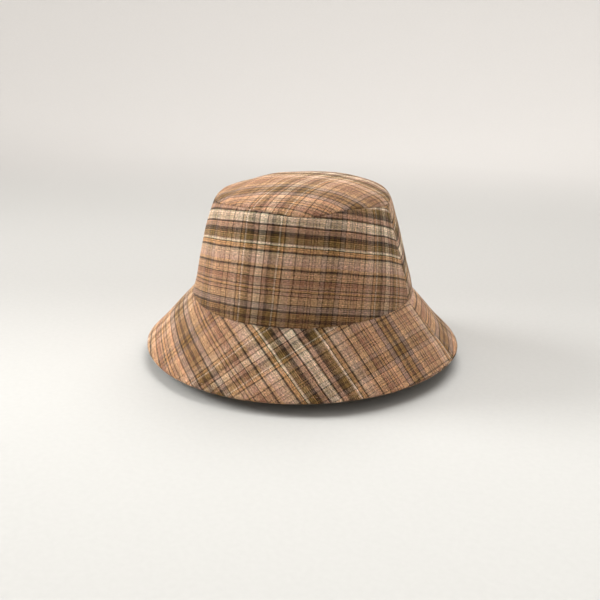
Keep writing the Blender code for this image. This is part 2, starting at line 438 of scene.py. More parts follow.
def unroll(lower, upper):
    """Lays the strip between two rings out flat, starting from its middle; returns both edges."""
    count = len(lower)
    middle = count // 2
    flat_lower = np.zeros((count, 2))
    flat_upper = np.zeros((count, 2))
    flat_upper[middle] = (0.0, np.linalg.norm(upper[middle] - lower[middle]))
    for way in (1, -1):
        for here in range(middle, count - 1 if way > 0 else 0, way):
            beyond = here + way
            lower_step = np.linalg.norm(lower[beyond] - lower[here])
            cross_step = np.linalg.norm(lower[beyond] - upper[here])
            flat_lower[beyond] = third_corner(
                flat_lower[here], flat_upper[here], lower_step, cross_step, -way
            )
            upper_step = np.linalg.norm(upper[beyond] - upper[here])
            across = np.linalg.norm(upper[beyond] - lower[beyond])
            flat_upper[beyond] = third_corner(
                flat_upper[here], flat_lower[beyond], upper_step, across, way
            )
    return flat_lower, flat_upper


def wall_pattern(angles, share):
    """share is 0 at the brim seam and 1 at the dome's rim."""
    lower = ring(BASE_HALF_WIDTH, BASE_HALF_LENGTH, BRIM_TOP, angles)
    upper = ring(TIP_HALF_WIDTH, TIP_HALF_LENGTH, CORNER_HEIGHT, angles)
    flat_lower, flat_upper = unroll(lower, upper)
    return mix(flat_lower, flat_upper, share[..., None])


def brim_pattern(angles, share):
    """share is 0 at the brim's edge and 1 at the brim seam."""
    lower = ring(BRIM_HALF_WIDTH, BRIM_HALF_LENGTH, 0.0, angles)
    upper = ring(BASE_HALF_WIDTH, BASE_HALF_LENGTH, BRIM_TOP, angles)
    flat_lower, flat_upper = unroll(lower, upper)
    return mix(flat_lower, flat_upper, share[..., None])


def lay(flat, cut):
    """Flat-pattern points as distances across the warp lines and across the weft lines."""
    placed = []
    for direction, centre in (
        (cut.warp_direction, cut.warp_centre),
        (cut.weft_direction, cut.weft_centre),
    ):
        turn = radians(direction)
        placed.append(flat[..., 1] * cos(turn) - flat[..., 0] * sin(turn) - centre)
    return np.stack(placed, axis=-1)


# Meshes


def quads(index):
    corners = (index[:-1, :-1], index[1:, :-1], index[1:, 1:], index[:-1, 1:])
    return np.stack(corners, axis=-1).reshape(-1, 4)


def rim(outer, inner):
    """Faces that close the gap between two border lines, outer read against its own faces."""
    return np.stack([outer[:-1], outer[1:], inner[1:], inner[:-1]], axis=-1)


def make_object(name, points, faces, material):
    mesh = bpy.data.meshes.new(name)
    mesh.from_pydata(points.tolist(), [], [list(face) for face in faces])
    mesh.materials.append(material)
    mesh.shade_smooth()
    mesh.set_sharp_from_angle(angle=radians(60))
    obj = bpy.data.objects.new(name, mesh)
    bpy.context.scene.collection.objects.link(obj)
    return obj


def set_cloth_map(mesh, cloth):
    """Writes one pair of cloth coordinates for each vertex into the UV map."""
    corners = np.empty(len(mesh.loops), dtype=np.int32)
    mesh.loops.foreach_get("vertex_index", corners)
    layer = mesh.uv_layers.new(name="cloth")
    layer.data.foreach_set("uv", cloth[corners].astype(np.float32).ravel())


def set_value(mesh, name, values):
    """Writes one number for each vertex into a named attribute."""
    attribute = mesh.attributes.new(name, "FLOAT", "POINT")
    attribute.data.foreach_set("value", np.asarray(values, dtype=np.float32).ravel())


def closed_sheet(name, outer, inner, cloth, crease, material, centre=False):
    """A closed thin sheet between two grids of points, rows running downhill.

    With centre, the columns wrap right round and the first row closes on a middle point.
    """
    rows, columns = outer.shape[:2]
    index = np.arange(rows * columns).reshape(rows, columns)
    total = rows * columns
    if centre:
        index = np.column_stack([index, index[:, 0]])
    faces = [*quads(index), *(quads(index)[:, ::-1] + total)]
    faces += [*rim(index[-1, ::-1], index[-1, ::-1] + total)]
    points = [outer.reshape(-1, 3), inner.reshape(-1, 3)]
    maps = [cloth.reshape(-1, 2)] * 2
    creases = [crease.ravel()] * 2
    if centre:
        middles = (2 * total, 2 * total + 1)
        points += [outer[0].mean(axis=0)[None], inner[0].mean(axis=0)[None]]
        maps += [cloth[0].mean(axis=0)[None]] * 2
        creases += [crease[0, :1]] * 2
        ring_index = index[0]
        faces += [(middles[0], a, b) for a, b in zip(ring_index, ring_index[1:])]
        faces += [(middles[1], b + total, a + total) for a, b in zip(ring_index, ring_index[1:])]
    else:
        faces += [*rim(index[0], index[0] + total)]
        faces += [*rim(index[::-1, 0], index[::-1, 0] + total)]
        faces += [*rim(index[:, -1], index[:, -1] + total)]
    obj = make_object(name, np.concatenate(points), faces, material)
    set_cloth_map(obj.data, np.concatenate(maps))
    # crease: how much painted shade darkens the cloth's colour, at seams, grooves and stitch rows
    set_value(obj.data, "crease", np.concatenate(creases))
    return obj


def roll(distance, width, depth):
    """How far cloth turns in as it nears a seam: a quarter round of this width and depth."""
    near = np.clip(1 - distance / width, 0, 1)
    return depth * (1 - np.sqrt(1 - near**2 * 0.999))


def column_angles(middle):
    """Angles across one half of the hat, crowded together at the side seams."""
    reach = SIDE_REACH - SEAM_GAP_ANGLE
    arc = pi * (BASE_HALF_WIDTH + BASE_HALF_LENGTH) / 2
    return middle + mix(-reach, reach, graded(arc))


def side_distance(angles, middle, half_width):
    """Distance along the cloth from the nearer side seam."""
    return (SIDE_REACH - np.abs(angles - middle)) * half_width


# Looks


def paint(red, green, blue, alpha=1.0):
    """A display colour from 0 to 255 as a linear colour with its alpha."""
    colour = []
    for level in (red / 255, green / 255, blue / 255):
        colour.append(level / 12.92 if level <= 0.04045 else ((level + 0.055) / 1.055) ** 2.4)
    return (*colour, alpha)


class Tree:
    """Short forms for building a material's nodes."""

    def __init__(self, name):
        self.material = bpy.data.materials.new(name)
        self.material.use_nodes = True
        self.tree = self.material.node_tree
        self.shader = self.tree.nodes["Principled BSDF"]

    def feed(self, socket, value):
        if isinstance(value, bpy.types.NodeSocket):
            self.tree.links.new(value, socket)
        else:
            socket.default_value = value

    def add(self, kind, **settings):
        node = self.tree.nodes.new(kind)
        for key, value in settings.items():
            setattr(node, key, value)
        return node

    def maths(self, operation, *values):
        node = self.add("ShaderNodeMath", operation=operation)
        for socket, value in zip(node.inputs, values):
            self.feed(socket, value)
        return node.outputs[0]

    def product(self, result, *factors):
        for factor in factors:
            result = self.maths("MULTIPLY", result, factor)
        return result

    def span(self, value, low, high, new_low, new_high, interpolation="LINEAR"):
        node = self.add("ShaderNodeMapRange", interpolation_type=interpolation)
        for socket, number in zip(node.inputs, (value, low, high, new_low, new_high)):
            self.feed(socket, number)
        return node.outputs["Result"]

    def vector(self, x, y=0.0, z=0.0):
        node = self.add("ShaderNodeCombineXYZ")
        for socket, value in zip(node.inputs, (x, y, z)):
            self.feed(socket, value)
        return node.outputs[0]

    def parts(self, vector):
        node = self.add("ShaderNodeSeparateXYZ")
        self.feed(node.inputs[0], vector)
        return node.outputs

    def noise(self, place, scale, detail, output="Fac"):
        node = self.add("ShaderNodeTexNoise")
        self.feed(node.inputs["Vector"], place)
        node.inputs["Scale"].default_value = scale
        node.inputs["Detail"].default_value = detail
        return node.outputs[output]

    def mottle(self, place, scale, detail, change):
        """A factor that wanders between 1 - change and 1 + change."""
        return self.span(self.noise(place, scale, detail), 0.3, 0.7, 1 - change, 1 + change)

    def blend(self, share, first, second, mode="MIX"):
        node = self.add("ShaderNodeMix", data_type="RGBA", blend_type=mode)
        self.feed(node.inputs["Factor"], share)
        colours = [socket for socket in node.inputs if socket.type == "RGBA"]
        for socket, value in zip(colours, (first, second)):
            self.feed(socket, value)
        return next(socket for socket in node.outputs if socket.type == "RGBA")

    def shade(self, colour, factor):
        """The colour with its brightness multiplied by a number."""
        return self.blend(1.0, colour, self.vector(factor, factor, factor), mode="MULTIPLY")

    def cloth_place(self):
        """The two cloth coordinates, in metres, and the vector that holds them."""
        place = self.add("ShaderNodeUVMap", uv_map="cloth").outputs[0]
        x, y, _ = self.parts(place)
        return x, y, place

    def value(self, name):
        node = self.add("ShaderNodeAttribute", attribute_name=name)
        return node.outputs["Fac"]

    def bump(self, height, distance, strength):
        node = self.add("ShaderNodeBump")
        node.inputs["Strength"].default_value = strength
        node.inputs["Distance"].default_value = distance
        self.feed(node.inputs["Height"], height)
        self.feed(self.shader.inputs["Normal"], node.outputs[0])

    def finish(self, colour, roughness, specular, sheen=0.0, sheen_tint=(1, 1, 1)):
        self.feed(self.shader.inputs["Base Color"], colour)
        self.feed(self.shader.inputs["Roughness"], roughness)
        self.shader.inputs["Specular IOR Level"].default_value = specular
        self.shader.inputs["Sheen Weight"].default_value = sheen
        self.shader.inputs["Sheen Roughness"].default_value = 0.5
        self.shader.inputs["Sheen Tint"].default_value = (*sheen_tint, 1.0)
        return self.material


def sett_ramp(tree, thread):
    """The colour of a thread by its number, and how much darker its neighbours are."""
    node = tree.add("ShaderNodeValToRGB")
    ramp = node.color_ramp
    ramp.interpolation = "CONSTANT"
    laid = 0
    for name, count in HALF_SETT:
        stop = ramp.elements[0] if laid == 0 else ramp.elements.new(laid / HALF_REPEAT)
        stop.color = paint(*DYES[name])
        laid += count
    ramp.elements.remove(ramp.elements[-1])
    place = tree.maths("PINGPONG", thread, HALF_REPEAT)
    tree.feed(node.inputs[0], tree.maths("DIVIDE", place, HALF_REPEAT))
    return node.outputs["Color"], node.outputs["Alpha"]


def yarn(tree, across, along):
    """One set of threads: its colour, how bright its dye is, and a wave that is 0 between threads."""
    number = tree.maths("FLOOR", across)
    colour, alternate = sett_ramp(tree, tree.maths("ADD", number, 0.5))
    every_other = tree.maths("PINGPONG", number, 1.0)
    shade = tree.maths("SUBTRACT", 1.0, tree.product(every_other, alternate))
    random = tree.add("ShaderNodeTexWhiteNoise", noise_dimensions="1D")
    tree.feed(random.inputs["W"], number)
    each = tree.span(random.outputs["Value"], 0.0, 1.0, 0.72, 1.28)
    slub_place = tree.vector(tree.product(number, 5.7), tree.product(along, 260.0))
    slub = tree.mottle(slub_place, 1.0, 3.0, 0.32)
    wave = tree.maths("SINE", tree.product(across, pi))
    tinted = tree.blend(0.12, colour, random.outputs["Color"], mode="MULTIPLY")
    grey = tree.add("ShaderNodeRGBToBW")
    tree.feed(grey.inputs[0], colour)
    bright = tree.maths("POWER", grey.outputs[0], 0.5)
    return tree.shade(tinted, tree.product(shade, each, slub)), bright, wave


def plaid_material():
    """A plain-woven tartan: warp and weft in the same sett, and a round, fuzzy rise for each yarn."""
    tree = Tree("plaid_cloth")
    warp_place, weft_place, place = tree.cloth_place()
    drift = tree.parts(tree.noise(place, 32.0, 3.0, "Color"))
    warp_drift = tree.span(drift[0], 0.0, 1.0, -THREAD_DRIFT, THREAD_DRIFT)
    weft_drift = tree.span(drift[1], 0.0, 1.0, -THREAD_DRIFT, THREAD_DRIFT)
    across_warp = tree.maths("DIVIDE", tree.maths("ADD", warp_place, warp_drift), WARP_PITCH)
    across_weft = tree.maths("DIVIDE", tree.maths("ADD", weft_place, weft_drift), WEFT_PITCH)
    warp, warp_bright, warp_wave = yarn(tree, across_warp, weft_place)
    weft, weft_bright, weft_wave = yarn(tree, across_weft, warp_place)
    over = tree.product(warp_wave, weft_wave)
    # Dark yarns are fuller, so a pale one is partly hidden where it crosses them
    hidden = tree.product(tree.maths("SUBTRACT", warp_bright, weft_bright), 0.6)
    warp_on_top = tree.span(over, hidden, tree.maths("ADD", hidden, 0.4), 0.0, 1.0, "SMOOTHSTEP")
    woven = tree.blend(warp_on_top, weft, warp)
    rise_node = tree.add("ShaderNodeMix", data_type="FLOAT")
    tree.feed(rise_node.inputs["Factor"], warp_on_top)
    tree.feed(rise_node.inputs["A"], tree.maths("ABSOLUTE", weft_wave))
    tree.feed(rise_node.inputs["B"], tree.maths("ABSOLUTE", warp_wave))
    rise = rise_node.outputs["Result"]
    # Painted shade between the yarns, darker where each dips under its neighbour
    thread_gap_shade = tree.span(rise, 0.0, 0.7, 0.72, 1.06)
    fuzz = tree.mottle(place, 850.0, 2.0, 0.48)
    broad = tree.mottle(place, 14.0, 2.0, 0.05)
    # Painted shade at seams, grooves and stitch rows and towards the crown's base, from the crease
    # attribute
    painted_seam_shade = tree.span(tree.value("crease"), 0.0, 1.0, 1.0, 0.62)
    colour = tree.shade(woven, tree.product(thread_gap_shade, fuzz, broad, painted_seam_shade))
    height = tree.maths("ADD", rise, tree.product(tree.noise(place, 2600.0, 1.0), 0.5))
    tree.bump(height, 0.14 * MM, 0.55)
    roughness = tree.span(rise, 0.0, 1.0, 0.97, 0.88)
    return tree.finish(colour, roughness, 0.18, sheen=0.06, sheen_tint=(0.95, 0.82, 0.68))


def fine_weave(tree, place_x, place_y, pitch, twill):
    """Height of a plain weave, or of a twill when the rows step sideways by a share of a thread."""
    x = tree.maths("DIVIDE", place_x, pitch)
    y = tree.maths("DIVIDE", place_y, pitch)
    slant = tree.maths("ADD", x, tree.product(y, twill)) if twill else x
    ribs = tree.maths("SINE", tree.product(slant, pi))
    rows = tree.maths("SINE", tree.product(y, pi))
    if twill:
        thin_rows = tree.product(tree.maths("ABSOLUTE", rows), 0.35)
        return tree.maths("ADD", tree.maths("ABSOLUTE", ribs), thin_rows)
    return tree.maths("ABSOLUTE", tree.product(ribs, rows))


def woven_material(name, colour, pitch, twill, roughness, specular, sheen, mottling):
    """A one-colour woven cloth: threads with painted shade between them, slubs, faint mottling and painted
    shade at seams.
    """
    tree = Tree(name)
    x, y, place = tree.cloth_place()
    height = fine_weave(tree, x, y, pitch, twill)
    # Painted shade between the threads
    threads = tree.span(height, 0.0, 1.0, 0.70, 1.10)
    stretched = tree.vector(tree.product(x, 60.0), tree.product(y, 1400.0))
    streaks = tree.mottle(stretched, 1.0, 3.0, mottling)
    clouds = tree.mottle(place, 28.0, 3.0, mottling)
    # Painted shade at seams and stitch rows, from the crease attribute
    painted_seam_shade = tree.span(tree.value("crease"), 0.0, 1.0, 1.0, 0.75)
    shaded = tree.shade(paint(*colour), tree.product(threads, streaks, clouds, painted_seam_shade))
    tree.bump(height, 0.08 * MM, 0.5)
    return tree.finish(shaded, tree.span(height, 0.0, 1.0, roughness + 0.06, roughness), specular, sheen)


def felt_material():
    """Pressed white fibres, for the brim's stiffener."""
    tree = Tree("interlining_felt")
    x, y, place = tree.cloth_place()
    fibres = tree.noise(tree.vector(tree.product(x, 3000.0), tree.product(y, 700.0)), 1.0, 4.0)
    dots = tree.noise(place, 900.0, 2.0)
    factor = tree.span(fibres, 0.3, 0.7, 0.90, 1.05)
    tree.bump(tree.maths("ADD", fibres, dots), 0.10 * MM, 0.5)
    return tree.finish(tree.shade(paint(222, 218, 210), factor), 0.92, 0.2)


def thread_material(name, colour):
    """Twisted sewing thread: its plies wind round it, with painted shade between them, so it darkens and
    lightens along its length.
    """
    tree = Tree(name)
    x, y, place = tree.cloth_place()
    twist = tree.maths("ADD", tree.maths("DIVIDE", x, 0.45 * MM), tree.maths("DIVIDE", y, 0.50 * MM))
    plies = tree.maths("ABSOLUTE", tree.maths("SINE", tree.product(twist, pi)))
    # Painted shade between the plies
    factor = tree.product(tree.span(plies, 0.0, 1.0, 0.65, 1.12), tree.mottle(place, 900.0, 2.0, 0.1))
    tree.bump(plies, 0.05 * MM, 0.5)
    return tree.finish(tree.shade(paint(*colour), factor), 0.6, 0.35, sheen=0.1)


# Pieces of the shell


def fit_sheet(piece, node, body, bend=None):
    """Hides a cloth piece's CAD node and ties the piece to its body.

    With bend given, the piece is only baked in place and tied to no body; the bend points are not used.
    """
    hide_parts(node)
    if bend:
        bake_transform(piece)
    else:
        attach(piece, body)


def add_crown_side(name, node, middle, cut, material):
    """Half of the crown's side, its edges turned in at the seams."""
    angles = column_angles(middle)
    start = tip_seam(angles) + SEAM_GAP
    end = DOME_REACH + WALL_SLANT
    along = mix(start, end, graded(WALL_SLANT)[:, None])
    point, normal, _ = facing(shell, angles, along)
    side = side_distance(angles, middle, BASE_HALF_WIDTH) + 0 * along
    turned = np.maximum.reduce(
        [
            roll(along - start, 1.0 * MM, TIP_SEAM_GROOVE),
            roll(end - along, 1.8 * MM, BASE_SEAM_GROOVE),
            roll(side, 1.0 * MM, SIDE_SEAM_GROOVE),
        ]
    )
    # Painted shade in the grooves at the tip, side and brim seams, and a broad painted shade deepening over
    # the last 20 mm towards the brim seam
    crease = np.maximum.reduce(
        [
            0.35 * fade(along - start, 0.5 * MM),
            fade(end - along, 1.0 * MM),
            0.6 * fade(side, 0.5 * MM),
            0.55 * fade(end - along, 20 * MM),
        ]
    )
    outer = point - normal * turned[..., None]
    inner = point - normal * SHELL_CLOTH
    flat = wall_pattern(angles, wall_share(along))
    panel = closed_sheet(name, outer, inner, lay(flat, cut), crease, material)
    fit_sheet(panel, node, "hat")


def dome_layer(name, rim_along, depth, thickness, cut, material, groove):
    """A dome from the tip's middle out to a rim, as one sheet, with its flat width, length and area."""
    first_ring = 0.012
    count = int(2 * pi * TIP_HALF_LENGTH / STEP)
    angles = np.linspace(0, 2 * pi, count, endpoint=False)
    reach = rim_along(angles)
    inward = graded(2 * DOME_REACH)
    places = np.append(first_ring, 2 * inward[inward <= 0.5][1:])
    outward = 1 - places[::-1]
    shares = np.append(first_ring, outward[outward > 2.5 * first_ring])
    along = reach * shares[:, None]
    point, normal, _ = facing(shell, angles, along)
    edge = reach - along
    outer = point - normal * (depth + roll(edge, 1.0 * MM, groove))[..., None]
    inner = point - normal * (depth + thickness)
    steps = np.linalg.norm(np.diff(point, axis=0, prepend=point[:1]), axis=-1)
    distance = np.cumsum(steps, axis=0) + np.linalg.norm(point[0, :, :2], axis=-1)
    heading = unit(point[-1, :, :2])
    flat = heading * distance[..., None]
    # Painted shade in the groove at the tip seam
    crease = 0.35 * fade(edge, 0.5 * MM) * (groove > 0)
    dome = closed_sheet(name, outer, inner, lay(flat, cut), crease, material, centre=True)
    width, length = flat.reshape(-1, 2).max(axis=0) - flat.reshape(-1, 2).min(axis=0)
    return dome, (float(width), float(length), float(width * length * pi / 4))


def add_tip(material):
    """The tip of the crown, out to its seam."""

    def rim_along(angle):
        return tip_seam(angle) - SEAM_GAP

    tip, size = dome_layer("tip_cloth", rim_along, 0.0, SHELL_CLOTH, TIP_CUT, material, TIP_SEAM_GROOVE)
    fit_sheet(tip, "crown_tip", "hat")


# Pieces of the brim


def edge_seam(angle):
    """Where upper and under cloth are joined: just over the edge on the wearer's left, else under it."""
    shown = ease((np.cos(angle - radians(86)) - 0.84) / 0.10)
    return BRIM_SLANT + mix(EDGE_ARC * 0.80, 0.3 * MM, shown)


def brim_layer(name, angles, along, flat, cut, material, grooves):
    """A panel of the brim over a stretch of its round sweep, with its start, end and side grooves."""
    middle = (angles[0] + angles[-1]) / 2
    start_groove, end_groove, side_groove = grooves
    from_start = along - along[0]
    to_end = along[-1] - along
    side = side_distance(angles, middle, BRIM_HALF_WIDTH) + 0 * along
    turned = roll(from_start, 1.4 * MM, start_groove) + roll(to_end, 0.9 * MM, end_groove)
    turned = np.maximum(turned, roll(side, 1.2 * MM, side_groove))
    row = along - EDGE_STITCH_ROW
    pressed = 0.30 * MM * ridge(row, 0.7 * MM)
    # Painted shade in the seam grooves and along the pressed stitch row
    crease = np.maximum.reduce(
        [
            fade(from_start, 0.9 * MM) * (start_groove > 0),
            fade(to_end, 0.5 * MM) * (end_groove > 0),
            fade(side, 0.5 * MM) * (side_groove > 0),
            0.45 * ridge(row, 0.6 * MM),
        ]
    )
    outer = round_brim(angles, along, turned + pressed)
    inner = round_brim(angles, along, SHELL_CLOTH)
    return closed_sheet(name, outer, inner, lay(flat, cut), crease, material)


def add_brim_upper(name, node, middle, cut, material):
    """Half of the brim's upper cloth, from the crown seam out over the edge."""
    angles = column_angles(middle)
    along = mix(-BRIM_TUCK, edge_seam(angles) - SEAM_GAP, graded(BRIM_SLANT)[:, None])
    flat = brim_pattern(angles, 1 - along / BRIM_SLANT)
    grooves = (0.55 * MM, 0.35 * MM, 0.15 * MM)
    panel = brim_layer(name, angles, along, flat, cut, material, grooves)
    fit_sheet(panel, node, "hat")


def add_brim_under(name, node, middle, cut, material):
    """The under cloth starts at the edge seam, wraps what is left of the edge and runs back inside."""
    angles = column_angles(middle)
    end = 2 * BRIM_SLANT + EDGE_ARC - 2.5 * MM
    along = mix(edge_seam(angles) + SEAM_GAP, end, graded(BRIM_SLANT)[:, None])
    flat = brim_pattern(angles, (along - BRIM_SLANT - EDGE_ARC) / BRIM_SLANT)
    grooves = (0.35 * MM, 0.0, 0.30 * MM)
    panel = brim_layer(name, angles, along, flat, cut, material, grooves)
    fit_sheet(panel, node, "hat")


def add_interlining(name, node, middle, material):
    """Half of the stiffener between the two cloths of the brim."""
    angles = column_angles(middle)
    along = mix(3.0 * MM, BRIM_SLANT - 0.8 * MM, np.linspace(0, 1, 30))[:, None] + 0 * angles
    outer = round_brim(angles, along, INTERLINING_DEPTH)
    inner = round_brim(angles, along, INTERLINING_DEPTH + INTERLINING_CLOTH)
    flat = brim_pattern(angles, 1 - along / BRIM_SLANT)
    panel = closed_sheet(name, outer, inner, lay(flat, STRAIGHT_CUT), 0 * along, material)
    fit_sheet(panel, node, "hat")


# Inside


def along_at(rise):
    """Distance along the shell of a height above the brim seam."""
    return DOME_REACH + WALL_SLANT * (1 - rise / CROWN_RISE)


def add_lining_side(name, node, middle, material):
    """Loose lining: it hangs in shallow folds between its seams."""
    angles = column_angles(middle)
    start = DOME_REACH + 2.5 * MM
    along = mix(start, along_at(0.6 * MM), graded(WALL_SLANT)[:, None]) + 0 * angles
    point, normal, _ = facing(shell, angles, along)
    from_top = along - DOME_REACH
    above_band = ease((along_at(BAND_HIGH.z - BRIM_TOP) - along) / (12 * MM))
    stretched = point * np.array((1.0, 1.0, 0.35))
    folds = (0.5 + 0.5 * waves(31, stretched, 22 * MM)) * 1.1 * MM * above_band * ease(from_top / (8 * MM))
    outer = point - normal * (LINING_DEPTH + folds)[..., None]
    inner = point - normal * (LINING_DEPTH + LINING_CLOTH + folds)[..., None]
    side = side_distance(angles, middle, BASE_HALF_WIDTH) + 0 * along
    # Painted shade at the side seams and along the lining's top edge
    crease = np.maximum(fade(side, 0.6 * MM), fade(from_top, 3 * MM))
    flat = wall_pattern(angles, wall_share(along))
    panel = closed_sheet(name, outer, inner, lay(flat, STRAIGHT_CUT), crease, material)
    fit_sheet(panel, node, "hat")


def add_lining_tip(material):
    """The lining's top, just short of the tip seam."""

    def rim_along(angle):
        return DOME_REACH - 1.0 * MM + 0 * angle

    tip, size = dome_layer(
        "lining_tip_cloth", rim_along, LINING_DEPTH, LINING_CLOTH, STRAIGHT_CUT, material, 0.0
    )
    fit_sheet(tip, "lining_tip", "hat")


def add_sweatband(material):
    """One strip round the head, its ends meeting at the back, its free top edge a little loose."""
    high = BAND_HIGH.z - BRIM_TOP
    end = along_at(BAND_START)
    reach = pi - SEAM_GAP_ANGLE
    girth = 2 * pi * (BASE_HALF_WIDTH + BASE_HALF_LENGTH) / 2
    angles = mix(-reach, reach, graded(girth))
    along = mix(along_at(high), end, graded(high, 1.2 * MM))[:, None] + 0 * angles
    point, normal, _ = facing(shell, angles, along)
    from_top = along - along_at(high)
    loose = BAND_LOOSE / 2 * (1 + waves(41, point, 60 * MM)) * ease(1 - from_top / (18 * MM))
    row = along - along_at(BAND_STITCH_RISE)
    pressed = 0.22 * MM * ridge(row, 0.7 * MM)
    turned = roll(np.minimum(from_top, end - along), 0.5 * MM, 0.4 * MM)
    outer = point - normal * (BAND_DEPTH + loose)[..., None]
    inner = point - normal * (BAND_DEPTH + BAND_CLOTH + loose - pressed - turned)[..., None]
    flat = np.stack([angles * (BASE_HALF_WIDTH + BASE_HALF_LENGTH) / 2 + 0 * along, -along], axis=-1)
    # Painted shade along the pressed stitch row
    crease = 0.4 * ridge(row, 0.6 * MM)
    band = closed_sheet("sweatband_strip", outer, inner, lay(flat, STRAIGHT_CUT), crease, material)
    fit_sheet(band, "sweatband", "hat")


def add_blank_label(material):
    """A blank woven label, sewn flat over the sweatband's join."""
    low = BRAND_LOW.z - BRIM_TOP
    high = BRAND_HIGH.z - BRIM_TOP
    reach = BRAND_HIGH.x / BASE_HALF_WIDTH
    angles = BACK + mix(-reach, reach, graded(2 * BRAND_HIGH.x, 0.8 * MM))
    along = mix(along_at(high), along_at(low), graded(high - low, 0.6 * MM))[:, None] + 0 * angles
    point, normal, _ = facing(shell, angles, along)
    edge = np.minimum(along - along_at(high), along_at(low) - along)
    puff = 0.18 * MM * ease(edge / (4 * MM))
    outer = point - normal * (LABEL_DEPTH + puff)[..., None]
    inner = point - normal * (LABEL_DEPTH + LABEL_CLOTH + puff)[..., None]
    flat = np.stack([(angles - BACK) * BASE_HALF_WIDTH + 0 * along, -along], axis=-1)
    label = closed_sheet("blank_label", outer, inner, lay(flat, STRAIGHT_CUT), 0 * along, material)
    fit_sheet(label, "brand_label", "hat")


def band_face(side_angle, half_width):
    """How far out the sweatband's top edge lies over the width of a label at a side seam."""
    angles = side_angle + np.array([-1.0, 0.0, 1.0]) * half_width / BASE_HALF_LENGTH
    point, normal, _ = facing(shell, angles, along_at(BAND_HIGH.z - BRIM_TOP))
    face = point - normal * (BAND_DEPTH + BAND_CLOTH + BAND_LOOSE)
    return np.abs(face[:, 0]).min()


def folded_strip(length, half_gap):
    """A strip folded double: for each point, the distance along it, its drop and its turn.

    The turn is 0 down the first leaf, goes to pi round the fold, and stays there up the second leaf.
    """
    straight = graded(length, 1.0 * MM) * length
    round_fold = length + half_gap * np.linspace(0, pi, 9)[1:-1]
    whole = 2 * length + pi * half_gap
    along = np.concatenate([straight, round_fold, whole - straight[::-1]])
    turn = np.clip((along - length) / half_gap, 0, pi)
    drop = np.minimum(np.minimum(along, whole - along), length) + half_gap * np.sin(turn)
    return along, drop, turn


def add_flap(name, node, body, material):
    """A label folded double, sewn in over the sweatband's top edge, with a slight natural curl."""
    low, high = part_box(node)
    half_gap = (high.x - low.x - 2 * LABEL_CLOTH) / 2
    length = high.z - low.z - half_gap - LABEL_CLOTH
    along, drop, turn = (values[:, None] for values in folded_strip(length, half_gap))
    seam_x = (low.x + high.x) / 2
    side = np.sign(seam_x)
    clear = half_gap + LABEL_CLOTH + 0.4 * MM
    hanging_x = side * min(abs(seam_x), band_face(side * pi / 2, high.y) - clear)
    tuck = (seam_x - hanging_x) * (1 - ease(drop / (1.2 * MM)))
    across = mix(low.y, high.y, graded(high.y - low.y, 0.9 * MM))
    curl = 0.5 * MM * (drop / length) ** 2 * np.cos(pi * across / (high.y - low.y))
    faces = []
    for radius in (half_gap + LABEL_CLOTH, half_gap):
        x = hanging_x + tuck + radius * np.cos(turn) - curl * side
        z = high.z - drop + (half_gap - radius) * np.sin(turn)
        faces.append(stack(x, across, z))
    flat = np.stack(np.broadcast_arrays(across, along), axis=-1)
    flap = closed_sheet(name, *faces, lay(flat, STRAIGHT_CUT), 0 * flat[..., 0], material)
    bend = ((hanging_x, 0, high.z), (hanging_x, 0, high.z - FLAP_BEND))
    fit_sheet(flap, node, body, bend)


# Stitches


def stitch_row(name, node, surface_frame, girth, material):
    """A row of separate stitches that dip into the cloth at both ends.

    surface_frame gives point, outward normal and direction along the row at an angle.
    """
    steps = 7
    sides = 8
    count = int(girth / (STITCH + STITCH_GAP))
    starts = np.linspace(0, 2 * pi, count, endpoint=False)
    share = np.linspace(0, 1, steps)
    reach = 2 * pi / count * STITCH / (STITCH + STITCH_GAP)
    angles = starts[:, None] + reach * share
    point, normal, onward = surface_frame(angles)
    aside = unit(np.cross(onward, normal))
    arch = np.sin(pi * share) ** 0.5
    centre = point + normal * ((arch - 0.55) * THREAD_RADIUS * 1.3)[None, :, None]
    thick = THREAD_RADIUS * (0.55 + 0.45 * arch)
    around = np.linspace(0, 2 * pi, sides, endpoint=False)
    offset = (
        normal[:, :, None] * np.cos(around)[:, None] + aside[:, :, None] * np.sin(around)[:, None]
    ) * thick[:, None, None]
    points = (centre[:, :, None] + offset).reshape(-1, 3)
    index = np.arange(steps * sides).reshape(steps, sides)
    wrapped = np.column_stack([index, index[:, 0]])
    one = [*quads(wrapped).tolist(), index[0].tolist(), index[-1, ::-1].tolist()]
    faces = [[corner + which * steps * sides for corner in face] for which in range(count) for face in one]
    stitches = make_object(name, points, faces, material)
    along_row = starts[:, None, None] * BRIM_HALF_WIDTH + share[:, None] * STITCH + 0 * around
    round_it = around * THREAD_RADIUS + 0 * along_row
    set_cloth_map(stitches.data, np.stack([along_row, round_it], axis=-1).reshape(-1, 2))
    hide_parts(node)
    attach(stitches, "hat")


def add_stitching(edge_thread, band_thread):
    """Two rows, one round the brim's edge and one through the foot of the sweatband."""
    ahead = 0.002

    def on_brim(angles):
        depth = 0.26 * MM
        here = round_brim(angles, EDGE_STITCH_ROW, depth)
        beyond = round_brim(angles + ahead, EDGE_STITCH_ROW, depth)
        _, normal, _ = facing(brim_top, angles, EDGE_STITCH_ROW)
        return here, normal, unit(beyond - here)

    def on_band(angles):
        row = along_at(BAND_STITCH_RISE)
        point, normal, _ = facing(shell, angles, row)
        beyond = shell(angles + ahead, row)
        inside = point - normal * (BAND_DEPTH + BAND_CLOTH - 0.18 * MM)
        return inside, -normal, unit(beyond - point)

    brim_girth = pi * (BRIM_HALF_WIDTH + BRIM_HALF_LENGTH)
    band_girth = pi * (BASE_HALF_WIDTH + BASE_HALF_LENGTH)
    stitch_row("brim_edge_stitches", "brim_edge_stitching", on_brim, brim_girth, edge_thread)
    stitch_row("sweatband_stitches", "sweatband_stitching", on_band, band_girth, band_thread)


# Stage, light and camera


